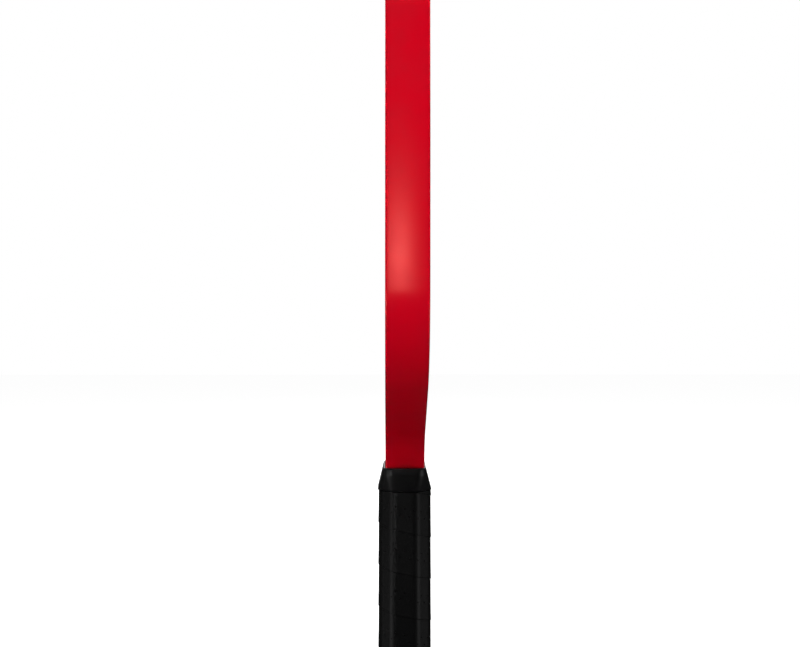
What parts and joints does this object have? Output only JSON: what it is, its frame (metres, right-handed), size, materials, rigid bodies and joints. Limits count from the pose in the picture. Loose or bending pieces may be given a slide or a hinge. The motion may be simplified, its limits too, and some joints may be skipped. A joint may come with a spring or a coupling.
{
  "type": "pickleball paddle",
  "caption": "Thick pickleball paddle: honeycomb sandwich panel with stiff striking skins, a full edge guard, a wrapped octagonal handle, rubber collar and flared butt cap.",
  "frame": {"origin": "middle of the butt cap's flat bottom", "axes": "+Z from the butt up to the head, X across the striking face, Y through the thickness with the front face towards -Y"},
  "size_m": [0.198, 0.0316, 0.403],
  "materials": {
    "core_polymer": "translucent white extruded polypropylene",
    "veil": "thin white non-woven, resin-filled",
    "skin": "fine-textured carbon fibre laminate",
    "guard": "soft red elastomer with a satin sheen",
    "pallet_foam": "moulded rigid foam",
    "cap_plastic": "moulded black plastic",
    "plug_plastic": "fine matt black plastic",
    "staple_wire": "galvanised flat wire",
    "wrap": "cushioned synthetic leather with small holes",
    "finishing_tape": "stretchy black adhesive tape",
    "collar_rubber": "smooth black rubber"
  },
  "bodies": {
    "root": {"honeycomb_core": "core_polymer", "core_veil_front": "veil", "core_veil_back": "veil", "face_sheet_front": "skin", "face_sheet_back": "skin", "edge_guard": "guard", "handle_pallet_front": "pallet_foam", "handle_pallet_back": "pallet_foam", "butt_cap": "cap_plastic", "butt_cap_plug": "plug_plastic", "butt_cap_staples": "staple_wire", "grip_tape": "wrap", "grip_finishing_tape": "finishing_tape", "collar": "collar_rubber"}
  },
  "joints": []
}
